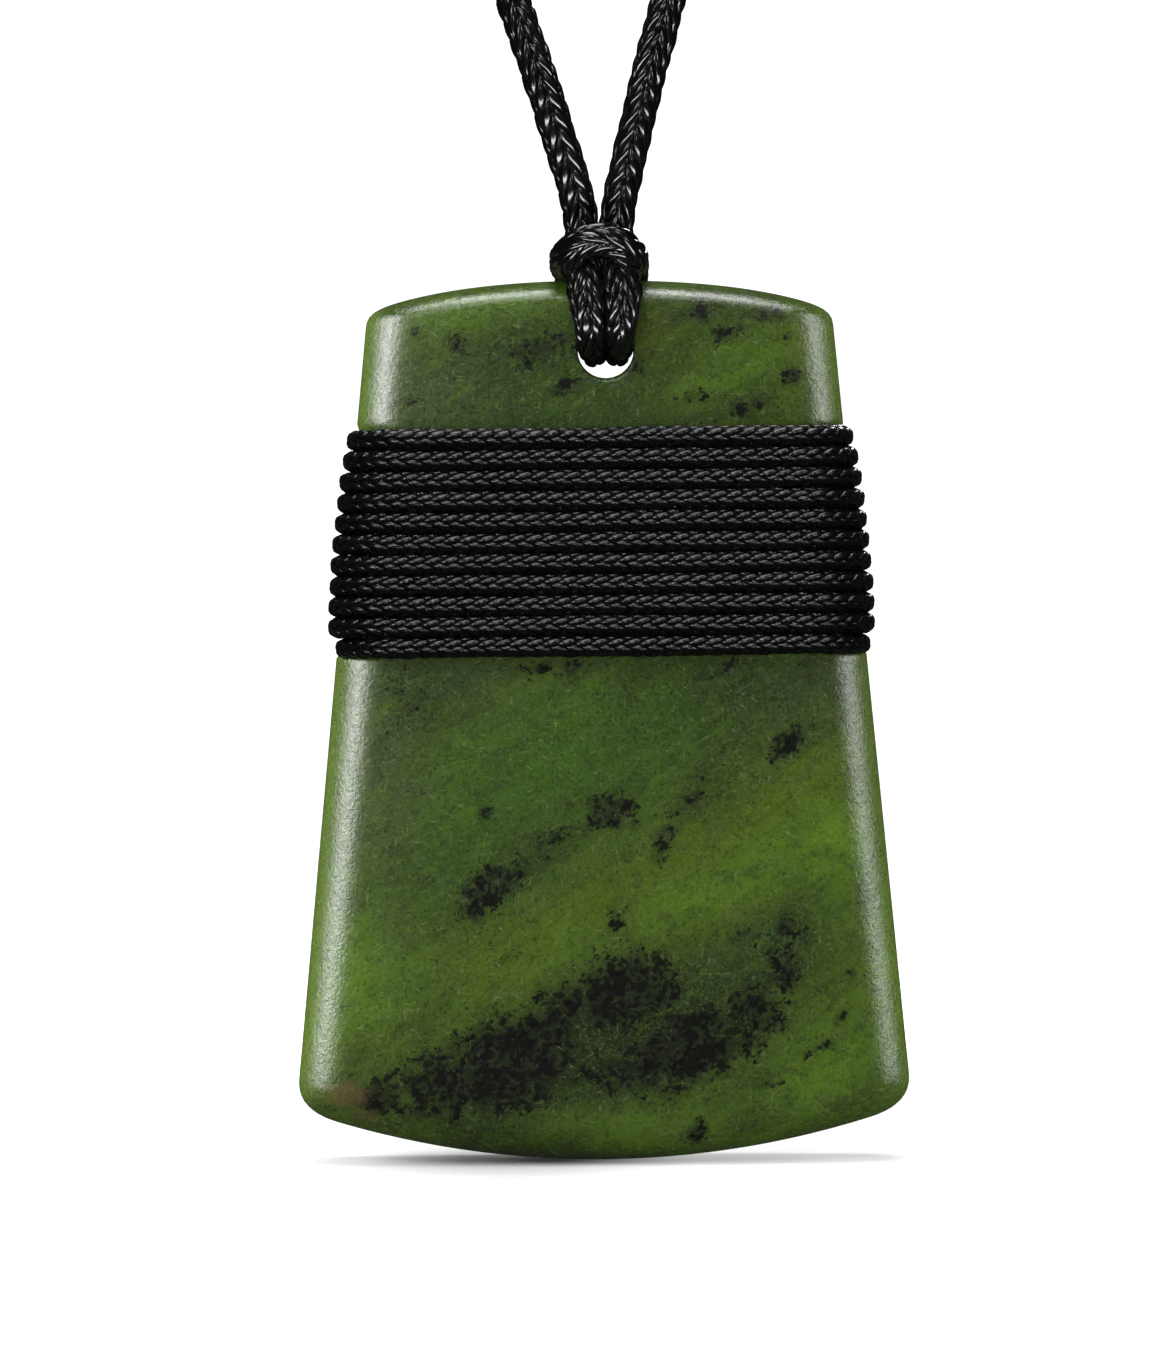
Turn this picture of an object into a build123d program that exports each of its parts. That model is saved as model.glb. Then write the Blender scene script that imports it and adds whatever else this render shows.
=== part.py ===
"""A polished stone blade pendant, lashed round its middle and hung on a braided neck cord.

The nape of the wearer's neck is the origin, +Z is up and the pendant hangs in front, at -Y.
"""

import os
from math import cos, degrees, pi, radians, sin, tan

from build123d import *

os.makedirs("parts", exist_ok=True)

# Stone blade, in millimetres, measured before its corners are rounded
stone_length = 50.0
stone_thickness = 7.0
top_width = 26.4
bottom_width = 35.0
top_rise = 1.5
bottom_drop = 3.2
top_corner_radius = 2.8
bottom_corner_radius = 3.0
edge_radius = 2.4

# How far each face falls from its middle to the stone's sides and to its ends
cross_crown = 0.5
length_crown = 0.4

# Drilled hole near the top edge
hole_diameter = 3.15
hole_below_top = 4.05
hole_offset = 0.3
hole_mouth_radius = 0.3

# Thin cord lashed round the stone, with the shallow seat ground into the stone's sides for it
lash_diameter = 1.12
lash_spacing = 0.06
lash_clearance = 0.14
lash_bottom = 29.14
lash_front_rise = 0.1
lash_back_end = 6.0
lash_end_radius = 0.45
seat_depth = 0.85
notch_depth = 1.3
seat_margin = 0.12
seat_face_drop = 0.15
seat_round_share = 0.47
seat_reach = 4.0

# Where the stone's top hangs, measured from the nape
hang_offset = 5.6
hang_forward = 130.0
hang_drop = 251.0

# Neck cord, and how thin its own pull squeezes it in the hitch
cord_diameter = 2.05
squeezed_diameter = 1.3
bend_share = 0.45
cord_end_gap = 0.3

# Closing knot at the nape
knot_length = 11.0
knot_diameter = 5.4
knot_edge_radius = 1.3
knot_clearance = 0.08

# How far each turn's centre line stands out from the stone's side, in shares of the
# lashing cord's radius, from the lowest turn up: left side, right side
LASHING_TURNS = [
    (-0.85, -0.50),
    (0.12, 0.16),
    (0.27, 0.32),
    (0.35, 0.43),
    (0.43, 0.43),
    (0.43, 0.43),
    (0.35, 0.40),
    (0.30, 0.40),
    (0.28, 0.30),
    (0.15, 0.20),
    (-0.10, -0.10),
]

# Route of the neck cord from the closing knot round the right side of the neck, from the nape
NECK_ROUTE = [
    (14.0, 0.0, 0.0),
    (36.0, -7.0, -2.5),
    (54.0, -25.0, -10.0),
    (62.5, -49.0, -25.0),
    (60.4, -75.0, -50.0),
]

# Route of the right half of the hitch, from the middle of the stone's top edge: where the two
# legs part, behind the bight, down the front, in and out of the hole, up the back, over the
# top and round into the middle of the bight. The last columns give where the cord swells
# towards its own size on the run to the next point: from and to which share, how thick
HITCH_ROUTE = [
    (1.08, -2.0, 4.1, 0, 0, 0),
    (0.72, -2.4, 2.2, 0, 0, 0),
    (1.2, -4.38, -0.9, 0.08, 0.28, 2.05),
    (0.72, -4.4, -3.85, 0, 0, 0),
    (0.72, 4.4, -3.85, 0.45, 0.75, 1.9),
    (1.6, 4.3, -0.9, 0, 0, 0),
    (2.45, 2.5, 0.85, 0, 0, 0),
    (2.58, -2.4, 0.95, 0, 0, 0),
    (2.12, -4.65, 1.5, 0.3, 1, 1.75),
    (0.0, -4.85, 2.15, 0, 0, 0),
]

# Worked out sizes
cross_radius = (bottom_width / 2) ** 2 / (2 * cross_crown)
length_radius = (stone_length / 2) ** 2 / (2 * length_crown)
lash_radius = lash_diameter / 2
lash_pitch = lash_diameter + lash_spacing
lash_top = lash_bottom + lash_pitch * (len(LASHING_TURNS) - 1)
seat_thickness = stone_thickness - 2 * seat_face_drop
seat_edge_radius = seat_round_share * seat_thickness
stone_foot = Vector(hang_offset, -hang_forward, -hang_drop - stone_length)
stone_plane = Plane(origin=stone_foot, x_dir=(1, 0, 0), z_dir=(0, -1, 0))


def side_half_width(up):
    """Half the stone's width at a height above its lowest point, by its straight sides."""
    rise = stone_length - top_rise - bottom_drop
    return bottom_width / 2 - (bottom_width - top_width) / 2 * (up - bottom_drop) / rise


def face_depth(across, up):
    """How far the stone's face lies from its middle plane."""
    lengthwise = (up - stone_length / 2) ** 2 / (2 * length_radius)
    return stone_thickness / 2 - across**2 / (2 * cross_radius) - lengthwise


def bend_radii(points):
    """One radius for each corner of a route, as large as its two runs allow."""
    radii = []
    for before, corner, after in zip(points, points[1:], points[2:]):
        run_in = Vector(*corner) - Vector(*before)
        run_out = Vector(*after) - Vector(*corner)
        half_turn = radians(run_in.get_angle(run_out)) / 2
        radii.append(bend_share * min(run_in.length, run_out.length) / tan(half_turn))
    return radii


def cord_tube(name, points, diameter):
    """A round cord along straight runs joined by arcs."""
    radii = bend_radii(points)
    with BuildPart() as tube:
        with BuildLine() as route:
            FilletPolyline(*points, radius=radii)
        with BuildSketch(Plane(origin=route.wire() @ 0, z_dir=route.wire() % 0)):
            Circle(diameter / 2)
        sweep(path=route.wire())
    length = route.wire().length
    section = pi * diameter**2 / 4
    print(f"{name}: length {length:.1f} mm, volume / (section x length)", end=" ")
    print(f"{tube.part.volume / (section * length):.4f}, radii", end=" ")
    print(", ".join(f"{radius:.1f}" for radius in radii))
    return tube.part


def swollen_stretch(start, end, diameter):
    """A straight stretch of cord at its own size, with round shoulders."""
    axis = end - start
    with BuildPart() as stretch:
        with BuildSketch(Plane(origin=start, z_dir=axis)):
            Circle(diameter / 2)
        extrude(amount=axis.length)
        with Locations(start, end):
            Sphere(diameter / 2)
    return stretch.part


def from_stone_top(row, side=1):
    """A point of the hitch's route in the part's frame, mirrored for the left side."""
    x, y, z = row[:3]
    lean = hole_offset if z < 0 else 0
    return Vector(hang_offset + lean + side * x, -hang_forward + y, -hang_drop + z)


# Stone blade

with BuildPart() as front_crown:
    crown_reach = 0.6 * bottom_width
    crown_tilt = 0.6 * stone_length / length_radius
    crown_centre = stone_foot + Vector(0, length_radius - stone_thickness / 2, stone_length / 2)
    crown_plane = Plane(
        origin=crown_centre, x_dir=(1, 0, 0), z_dir=(0, sin(crown_tilt), cos(crown_tilt))
    )
    crown_fall = crown_reach**2 / (2 * cross_radius)
    with BuildSketch(crown_plane):
        with BuildLine():
            ThreePointArc(
                (-crown_reach, crown_fall - length_radius),
                (0, -length_radius),
                (crown_reach, crown_fall - length_radius),
            )
            Polyline(
                (crown_reach, crown_fall - length_radius),
                (crown_reach, 2 * stone_thickness - length_radius),
                (-crown_reach, 2 * stone_thickness - length_radius),
                (-crown_reach, crown_fall - length_radius),
            )
        make_face()
    revolve(axis=Axis(crown_centre, (1, 0, 0)), revolution_arc=degrees(2 * crown_tilt))

back_crown = mirror(front_crown.part, about=Plane.XZ.offset(hang_forward))


def side_seat(low, high, depth):
    """What is ground away from the stone's two sides between two heights."""
    with BuildPart() as seat:
        for side in (-1, 1):
            foot = stone_foot + Vector(side * side_half_width(low), 0, low)
            head = stone_foot + Vector(side * side_half_width(high), 0, high)
            with BuildSketch(Plane(origin=foot, x_dir=(side, 0, 0), z_dir=(0, 0, 1))):
                Rectangle(2 * seat_reach, 2 * stone_thickness)
                with Locations((-depth - seat_reach, 0)):
                    RectangleRounded(
                        2 * seat_reach, seat_thickness, seat_edge_radius, mode=Mode.SUBTRACT
                    )
            extrude(amount=(head - foot).length, dir=(head - foot).normalized())
    return seat.part


seat_low = lash_bottom - lash_radius - seat_margin
seat_high = lash_top + lash_radius + lash_front_rise + seat_margin
notch_high = lash_bottom + lash_pitch / 2

with BuildPart() as waisted_block:
    with BuildSketch(stone_plane):
        with Locations((0, stone_length / 2)):
            Rectangle(2 * bottom_width, 2 * stone_length)
    extrude(amount=stone_thickness, both=True)
    add(side_seat(lash_bottom, seat_high, seat_depth), mode=Mode.SUBTRACT)
    add(side_seat(seat_low, notch_high, notch_depth), mode=Mode.SUBTRACT)

with BuildPart() as stone_blade:
    bottom_left = (-bottom_width / 2, bottom_drop)
    bottom_right = (bottom_width / 2, bottom_drop)
    top_right = (top_width / 2, stone_length - top_rise)
    top_left = (-top_width / 2, stone_length - top_rise)
    with BuildSketch(stone_plane) as outline:
        with BuildLine():
            ThreePointArc(bottom_left, (0, 0), bottom_right)
            Line(bottom_right, top_right)
            ThreePointArc(top_right, (0, stone_length), top_left)
            Line(top_left, bottom_left)
        make_face()
        corners = outline.vertices().group_by(Axis.Y)
        fillet(corners[-1], top_corner_radius)
        fillet(corners[0], bottom_corner_radius)
    extrude(amount=stone_thickness / 2, both=True)
    add(front_crown.part, mode=Mode.INTERSECT)
    add(back_crown, mode=Mode.INTERSECT)
    fillet(stone_blade.edges().filter_by(Axis.Y, reverse=True), edge_radius)
    with BuildSketch(stone_plane):
        with Locations((hole_offset, stone_length - hole_below_top)):
            Circle(hole_diameter / 2)
    extrude(amount=stone_thickness, both=True, mode=Mode.SUBTRACT)
    hole_mouths = stone_blade.edges(Select.LAST).filter_by(lambda edge: edge.is_closed)
    fillet(hole_mouths, hole_mouth_radius)
    add(waisted_block.part, mode=Mode.INTERSECT)
stone_blade.part.label = "stone_blade"
export_step(stone_blade.part, "parts/stone_blade.step")

# Lashing, wound from the lowest turn up as one cord


def lash_point(across, depth_side, up):
    """A point of the lashing's centre line, clear of the stone's face by the clearance."""
    reach = min(abs(across), side_half_width(up) - seat_edge_radius)
    depth = face_depth(reach, up) + lash_radius + lash_clearance
    return stone_foot + Vector(across, depth_side * depth, up)


def back_crossing(turn, across):
    """A point of the lashing behind the stone, where a turn climbs to the next one."""
    start = lash_bottom + turn * lash_pitch + lash_front_rise
    share = 0.5 - across / (2 * side_half_width(start))
    return lash_point(across, 1, start + share * (lash_pitch - lash_front_rise))


lash_route = [back_crossing(-1, lash_back_end), back_crossing(-1, 0)]
for turn, (left_out, right_out) in enumerate(LASHING_TURNS):
    up = lash_bottom + turn * lash_pitch
    left = -side_half_width(up) - left_out * lash_radius
    right = side_half_width(up) + right_out * lash_radius
    lash_route.append(lash_point(left, 1, up))
    lash_route.append(lash_point(left, -1, up))
    lash_route.append(lash_point(0, -1, up + lash_front_rise / 2))
    lash_route.append(lash_point(right, -1, up + lash_front_rise))
    lash_route.append(lash_point(right, 1, up + lash_front_rise))
    lash_route.append(back_crossing(turn, 0))
lash_route.append(back_crossing(turn, -lash_back_end))

with BuildPart() as lashing:
    add(cord_tube("lashing", lash_route, lash_diameter))
    cut_ends = lashing.faces().filter_by(GeomType.PLANE)
    fillet(cut_ends.edges(), lash_end_radius)
lashing.part.label = "lashing"
export_step(lashing.part, "parts/lashing.step")

# Neck cord with its hitch

hitch_right = [from_stone_top(row) for row in HITCH_ROUTE]
hitch_left = [from_stone_top(row, side=-1) for row in HITCH_ROUTE]
core_route = hitch_right + hitch_left[-2::-1]

with BuildPart() as neck_cord:
    for side, hitch in ((1, hitch_right), (-1, hitch_left)):
        neck = [Vector(side * x, y, z) for x, y, z in NECK_ROUTE]
        leg_foot = hitch[0]
        start = Vector(side * cord_end_gap / 2, 0, 0)
        add(cord_tube("neck cord leg", [start, *neck, leg_foot], cord_diameter))
        with Locations(leg_foot):
            Sphere(cord_diameter / 2)
        for point, onward, row in zip(hitch, hitch[1:], HITCH_ROUTE):
            first, last, thickness = row[3:]
            if thickness:
                line = onward - point
                add(swollen_stretch(point + line * first, point + line * last, thickness))
    add(cord_tube("hitch", core_route, squeezed_diameter))
neck_cord.part.label = "neck_cord"
export_step(neck_cord.part, "parts/neck_cord.step")

# Closing knot, a short barrel on the two ends of the neck cord

with BuildPart() as closing_knot:
    with BuildSketch(Plane.YZ.offset(-knot_length / 2)):
        Circle(knot_diameter / 2)
    extrude(amount=knot_length)
    fillet(closing_knot.edges().filter_by(GeomType.CIRCLE), knot_edge_radius)
    with BuildSketch(Plane.YZ.offset(-knot_length / 2)):
        Circle(cord_diameter / 2 + knot_clearance)
    extrude(amount=knot_length, mode=Mode.SUBTRACT)
closing_knot.part.label = "closing_knot"
export_step(closing_knot.part, "parts/closing_knot.step")
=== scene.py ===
"""The looks of a polished green stone blade, lashed with thin cord on a braided neck cord."""

from math import cos, pi, radians, sin

import bpy
import bmesh
import numpy as np
from mathutils import Euler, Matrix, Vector


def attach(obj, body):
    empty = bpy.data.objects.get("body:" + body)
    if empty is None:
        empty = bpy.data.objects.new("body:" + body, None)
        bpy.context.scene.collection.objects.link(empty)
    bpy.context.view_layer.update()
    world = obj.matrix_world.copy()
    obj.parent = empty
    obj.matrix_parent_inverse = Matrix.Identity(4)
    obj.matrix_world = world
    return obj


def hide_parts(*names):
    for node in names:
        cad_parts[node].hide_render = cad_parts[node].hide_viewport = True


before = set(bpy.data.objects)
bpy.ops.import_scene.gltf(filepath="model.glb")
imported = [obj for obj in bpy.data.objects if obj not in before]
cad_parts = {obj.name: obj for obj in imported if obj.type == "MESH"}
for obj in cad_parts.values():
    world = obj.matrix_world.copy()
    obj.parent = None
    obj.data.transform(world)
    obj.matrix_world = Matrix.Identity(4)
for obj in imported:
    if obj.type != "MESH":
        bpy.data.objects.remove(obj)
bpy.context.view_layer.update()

MM = 0.001

# Where the stone hangs, in millimetres: its axis, its middle plane and its lowest point
STONE_X = 5.6
STONE_Y = -130.0
STONE_FOOT = -301.0
STONE_LENGTH = 50.0
STONE_TOP = STONE_FOOT + STONE_LENGTH
HALF_THICKNESS = 3.5
FOOT_HALF_WIDTH = 17.50
FOOT_CORNER_UP = 3.2
SIDE_SLOPE = 0.0950

# How the top edge falls off towards its ends, and the radius and middle of the lowest edge
TOP_FALL = 0.00618
TOP_END_FALL = 2.26e-5
BOTTOM_RADIUS = 52.0
BOTTOM_MIDDLE = -0.2

# Crown of the faces: the squared distance at which they have fallen by a millimetre, across and
# up, the height of their middle, how late they fall near an edge, and how high they swell
CROWN_ACROSS = 612
CROWN_UP = 1562
CROWN_MIDDLE = 25
FALL_POWER = 2.4
SWELL = 0.03

# How far in from each edge the stone is rounded, how square its lowest and highest corners are,
# and how far its faces fall away on the last stretch before the sides and the ends
SIDE_ROUND = 2.7
TOP_ROUND = 1.12
BOTTOM_ROUND = 2.0
LOW_CORNER_POWER = 2.7
HIGH_CORNER_POWER = 4.8
SIDE_FALL = 0.50
SIDE_FALL_REACH = 6.0
END_FALL = 0.25
END_FALL_REACH = 3.5

# Seat under the lashing: the heights over which it starts and ends, its depth, how much deeper
# it is under the lowest turn and over which heights that fades, and how far in it reaches
SEAT_START = (28.75, 29.3)
SEAT_END = (41.1, 41.7)
SEAT_DEPTH = 0.72
NOTCH_EXTRA = 0.5
NOTCH_FADE = (29.4, 30.3)
SEAT_REACH = 5

# Hole
HOLE_X = 0.33
HOLE_UP = 45.95
HOLE_RADIUS = 1.575
MOUTH_RADIUS = 0.3

# Points round each ring of the stone's mesh, rings on its flat faces and on its rounded edge,
# and how wide the rounded edge's rings lie
RING_POINTS = 420
MOUTH_RINGS = 6
FACE_RINGS = 47
EDGE_RINGS = 25
EDGE_ZONE = 6.0

# Lashing
LASH_RADIUS = 0.56
LASH_PITCH = 1.18
LASH_BOTTOM = 29.14
LASH_RISE = 0.1
LASH_CORNER = 3.3
LASH_TAIL = 6.0
LASH_GAP = 0.06

# How far each turn stands out from the stone's side, in shares of the lashing's radius, from
# the lowest turn up: left side, right side
LASHING_TURNS = (
    (-0.85, -0.50),
    (0.12, 0.16),
    (0.27, 0.32),
    (0.35, 0.43),
    (0.43, 0.43),
    (0.43, 0.43),
    (0.35, 0.40),
    (0.30, 0.40),
    (0.28, 0.30),
    (0.15, 0.20),
    (-0.10, -0.10),
)

# Neck cord round the right side of the neck, then the right half of the hitch from the
# middle of the stone's top edge: place, half size away from the stone, half size across
NECK_ROUTE = (
    (0.15, 0.0, 0.0),
    (14.0, 0.0, 0.0),
    (36.0, -7.0, -2.5),
    (54.0, -25.0, -10.0),
    (62.5, -49.0, -25.0),
    (60.4, -75.0, -50.0),
    (55.0, -80.8, -70.0),
)
HITCH_ROUTE = (
    (3.94, -3.4, 16.0, 1.02, 1.02),
    (1.30, -2.3, 5.2, 1.02, 1.02),
    (0.92, -2.2, 2.8, 0.95, 1.00),
    (0.96, -3.4, 0.9, 0.88, 1.06),
    (1.09, -4.35, -1.0, 0.90, 1.13),
    (0.69, -4.55, -4.1, 0.95, 0.82),
    (0.69, 4.4, -3.9, 0.90, 0.80),
    (1.50, 4.3, -0.9, 0.90, 0.90),
    (2.02, 2.4, 0.9, 0.90, 0.80),
    (2.00, -2.2, 0.9, 1.00, 0.80),
    (2.02, -4.3, 1.0, 0.98, 0.80),
    (1.24, -4.95, 1.92, 0.96, 0.80),
    (0.0, -5.05, 2.24, 0.95, 0.82),
)
CORD_RADIUS = 1.025

# How far the left leg stands in from the right one's mirror place, and below which height the
# hitch leans with the hole
LEFT_LEG_SHIFT = 0.84
LEAN_BELOW = -251.5

# Step along the neck cord's line, and how far above the hitch the finely braided stretch starts
NECK_STEP = 0.25
HITCH_MARGIN = 18

rng = np.random.default_rng(11)


def side_half_width(up):
    """Half the stone's width at a height, by its straight sides."""
    return FOOT_HALF_WIDTH - SIDE_SLOPE * (up - FOOT_CORNER_UP)


def top_line(x):
    """Height of the stone's top edge."""
    return STONE_LENGTH - TOP_FALL * x**2 - TOP_END_FALL * x**4


def bottom_line(x):
    """Height of the stone's lowest edge."""
    away = np.clip(x - BOTTOM_MIDDLE, -30, 30)
    return BOTTOM_RADIUS - np.sqrt(BOTTOM_RADIUS**2 - away**2)


def edge_share(x, up):
    """One on the stone's outline, and none where no edge is near."""
    half = side_half_width(up)
    share_up = np.clip(up / STONE_LENGTH, 0, 1)
    power = LOW_CORNER_POWER + (HIGH_CORNER_POWER - LOW_CORNER_POWER) * share_up
    total = 0.0
    for gap, reach in (
        (half - x, SIDE_ROUND),
        (half + x, SIDE_ROUND),
        (top_line(x) - up, TOP_ROUND),
        (up - bottom_line(x), BOTTOM_ROUND),
    ):
        total = total + np.clip(1 - gap / reach, 0, None) ** power
    return total ** (1 / power)


def travel_along(points):
    """Length along a line of points, at each of them."""
    return np.concatenate([[0], np.cumsum(np.linalg.norm(np.diff(points, axis=0), axis=1))])


def step(low, high, value):
    """Smooth rise from none at low to one at high."""
    share = np.clip((value - low) / (high - low), 0, 1)
    return share * share * (3 - 2 * share)


def crown(x, up):
    """How far the stone's faces fall away from their middle."""
    return x**2 / CROWN_ACROSS + (up - CROWN_MIDDLE) ** 2 / CROWN_UP


def half_depth(x, up):
    """How far the stone's faces lie from its middle plane."""
    side_gap = side_half_width(up) - np.abs(x)
    end_gap = np.minimum(top_line(x) - up, up - bottom_line(x))
    fall = SIDE_FALL * np.clip(1 - side_gap / SIDE_FALL_REACH, 0, 1) ** FALL_POWER
    fall = fall + END_FALL * np.clip(1 - end_gap / END_FALL_REACH, 0, 1) ** FALL_POWER
    swell = SWELL * np.sin(0.31 * x + 0.9) * np.sin(0.23 * up + 0.4)
    round_off = np.sqrt(np.clip(1 - edge_share(x, up) ** 2, 0, 1))
    return (HALF_THICKNESS - crown(x, up) - fall + swell) * round_off


def seat_pull(x, up):
    """How far the stone's sides are ground in under the lashing."""
    run = step(*SEAT_START, up) * (1 - step(*SEAT_END, up))
    depth = SEAT_DEPTH + NOTCH_EXTRA * (1 - step(*NOTCH_FADE, up))
    near = step(0, SEAT_REACH - 1, SEAT_REACH - (side_half_width(up) - np.abs(x)))
    return run * depth * near


def outline_reach(angles):
    """Distance from the hole's centre to the stone's outline at each angle."""
    low = np.full(len(angles), 0.5)
    high = np.full(len(angles), 60.0)
    for _ in range(60):
        middle = (low + high) / 2
        x = HOLE_X + middle * np.cos(angles)
        up = HOLE_UP + middle * np.sin(angles)
        inside = edge_share(x, up) < 1
        low = np.where(inside, middle, low)
        high = np.where(inside, high, middle)
    return low


def new_piece(name, points, faces, *materials):
    """A smooth mesh from points in millimetres, riding on the root."""
    mesh = bpy.data.meshes.new(name)
    mesh.from_pydata((np.asarray(points) * MM).tolist(), [], [tuple(face) for face in faces])
    mesh.polygons.foreach_set("use_smooth", [True] * len(mesh.polygons))
    mesh.update()
    piece = bpy.data.objects.new(name, mesh)
    bpy.context.scene.collection.objects.link(piece)
    for material in materials:
        mesh.materials.append(material)
    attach(piece, "root")
    return piece


def ring_faces(first, second, closed=True):
    """Quads between two rings of vertex numbers."""
    count = len(first) if closed else len(first) - 1
    following = (np.arange(count) + 1) % len(first)
    return np.column_stack([first[:count], first[following], second[following], second[:count]])


# Nodes


def node_tree(name):
    """A new material with its nodes and its shader."""
    material = bpy.data.materials.new(name)
    material.use_nodes = True
    tree = material.node_tree
    shader = tree.nodes["Principled BSDF"]
    return material, tree, shader


def add_node(tree, kind, inputs=(), **settings):
    """A node with its settings and inputs, where an input may be a value or a socket."""
    node = tree.nodes.new(kind)
    for key, value in settings.items():
        setattr(node, key, value)
    for key, value in dict(inputs).items():
        if isinstance(value, bpy.types.NodeSocket):
            tree.links.new(value, node.inputs[key])
        else:
            node.inputs[key].default_value = value
    return node


def ramp(tree, factor, stops):
    """Colour ramp with stops of place and colour."""
    node = add_node(tree, "ShaderNodeValToRGB", {"Fac": factor})
    elements = node.color_ramp.elements
    while len(elements) < len(stops):
        elements.new(0.5)
    for element, (place, colour) in zip(elements, stops):
        element.position = place
        element.color = (*colour, 1)
    return node.outputs["Color"]


def mix(tree, factor, first, second):
    """Colour mix of two sockets or colours."""
    inputs = {0: factor}
    for key, value in ((6, first), (7, second)):
        inputs[key] = value if isinstance(value, bpy.types.NodeSocket) else (*value, 1)
    return add_node(tree, "ShaderNodeMix", inputs, data_type="RGBA").outputs[2]


def noise(tree, vector, scale, detail=4, rough=0.55, distortion=0.0):
    """Soft noise at those places, with its detail, roughness and distortion."""
    inputs = {
        "Vector": vector,
        "Scale": scale,
        "Detail": detail,
        "Roughness": rough,
        "Distortion": distortion,
    }
    return add_node(tree, "ShaderNodeTexNoise", inputs).outputs["Fac"]


def places(tree, operation, inputs):
    """Sum on places, with inputs by number or name."""
    return add_node(tree, "ShaderNodeVectorMath", inputs, operation=operation).outputs[0]


def stretched(tree, vector, turn, scale, location=(0, 0, 0)):
    """Places in a frame that is moved, turned in the stone's plane by degrees and stretched."""
    inputs = {
        "Vector": vector,
        "Location": location,
        "Rotation": (0, radians(turn), 0),
        "Scale": scale,
    }
    return add_node(tree, "ShaderNodeMapping", inputs, vector_type="TEXTURE").outputs[0]


def warp(tree, vector, scale, amount):
    """Places pushed about by a noise of that scale."""
    inputs = {"Vector": vector, "Scale": scale, "Detail": 4, "Roughness": 0.65}
    push = add_node(tree, "ShaderNodeTexNoise", inputs).outputs["Color"]
    centred = places(tree, "SUBTRACT", {0: push, 1: (0.5, 0.5, 0.5)})
    moved = places(tree, "SCALE", {0: centred, "Scale": amount})
    return places(tree, "ADD", {0: vector, 1: moved})


def between(tree, value, low, high, to_low=0.0, to_high=1.0):
    """Value stretched from one range to another, smoothly, with both ends held."""
    inputs = {
        "Value": value,
        "From Min": low,
        "From Max": high,
        "To Min": to_low,
        "To Max": to_high,
    }
    node = add_node(tree, "ShaderNodeMapRange", inputs, interpolation_type="SMOOTHSTEP")
    return node.outputs["Result"]


def times(tree, first, second):
    """Product of two values or sockets."""
    return add_node(tree, "ShaderNodeMath", {0: first, 1: second}, operation="MULTIPLY").outputs[0]


def plus(tree, first, second):
    """Sum of two values or sockets."""
    return add_node(tree, "ShaderNodeMath", {0: first, 1: second}, operation="ADD").outputs[0]


def stain(tree, name):
    """How strongly a named kind of stain shows."""
    return add_node(tree, "ShaderNodeAttribute", attribute_name=name).outputs["Fac"]


# Ground colours of the stone, from the darkest clouds to the lightest
CLOUD_COLOURS = (
    (0.30, (0.014, 0.023, 0.006)),
    (0.42, (0.022, 0.040, 0.006)),
    (0.52, (0.030, 0.057, 0.006)),
    (0.62, (0.040, 0.072, 0.005)),
    (0.75, (0.050, 0.088, 0.006)),
)

# Stain name and colour, from the lowest layer up
STAIN_COLOURS = (
    ("teal", (0.018, 0.041, 0.010)),
    ("bright", (0.068, 0.134, 0.004)),
    ("green", (0.028, 0.068, 0.005)),
    ("olive", (0.045, 0.070, 0.003)),
    ("grey", (0.034, 0.046, 0.018)),
    ("shade", (0.010, 0.016, 0.005)),
)

# Fibres: turn in degrees, and how far the noise is moved so that no two kinds run alike
FIBRES = ((-28, 0.0), (41, 17.0), (-83, 41.0), (4, 63.0))

# Crumbs: scale, bend of their edges, share of the crowd that shows, and a shift of it
CRUMBS = ((1.5, 0.75, 0.60, -0.14), (2.6, 0.45, 0.50, -0.03), (4.6, 0.25, 0.45, 0.010))


def ground_colour(tree, local, slanted):
    """Mottled greens with stains and streaks, and a painted glow that lightens the thin side edges."""
    base = ramp(tree, noise(tree, slanted, 0.22, 5, 0.58, 0.5), CLOUD_COLOURS)
    spread = between(tree, noise(tree, slanted, 0.6, 6, 0.62, 0.4), 0.25, 0.55, 0.35, 1.0)
    for name, colour in STAIN_COLOURS:
        base = mix(tree, times(tree, stain(tree, name), spread), base, colour)
    fine = noise(tree, local, 0.9, 7, 0.70, 0.3)
    base = mix(tree, between(tree, fine, 0.45, 0.70, 0.0, 0.55), base, (0.014, 0.024, 0.006))
    streak_place = stretched(tree, warp(tree, local, 0.25, 1.6), -34, (5.0, 1.4, 1.0))
    streaks = noise(tree, streak_place, 1.3, 6, 0.62, 0.3)
    base = mix(tree, between(tree, streaks, 0.50, 0.30, 0.0, 0.42), base, (0.012, 0.021, 0.005))
    base = mix(tree, between(tree, streaks, 0.52, 0.74, 0.0, 0.45), base, (0.056, 0.100, 0.006))
    # Painted glow: the thin side edges are lightened towards yellow-green, as if light shone through
    # the rim.
    return mix(tree, times(tree, stain(tree, "thin"), 0.50), base, (0.088, 0.140, 0.022))


def add_fibres(tree, base, local):
    """Fine pale threads on the ground, and the flecks that also lie over the dark marks."""
    bent = times(tree, noise(tree, local, 0.6, 2, 0.5), 5.0)
    flecks = []
    for turn, seed in FIBRES:
        fibre_place = stretched(tree, local, turn, (1.0, 1.0, 0.14), (seed, seed, seed))
        threads = noise(tree, places(tree, "ADD", {0: fibre_place, 1: bent}), 1.3, 2, 0.5)
        base = mix(tree, between(tree, threads, 0.60, 0.68, 0.0, 0.19), base, (0.092, 0.128, 0.028))
        base = mix(tree, between(tree, threads, 0.70, 0.76, 0.0, 0.30), base, (0.190, 0.220, 0.090))
        flecks.append(between(tree, threads, 0.71, 0.77, 0.0, 0.22))
    return base, flecks


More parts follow.
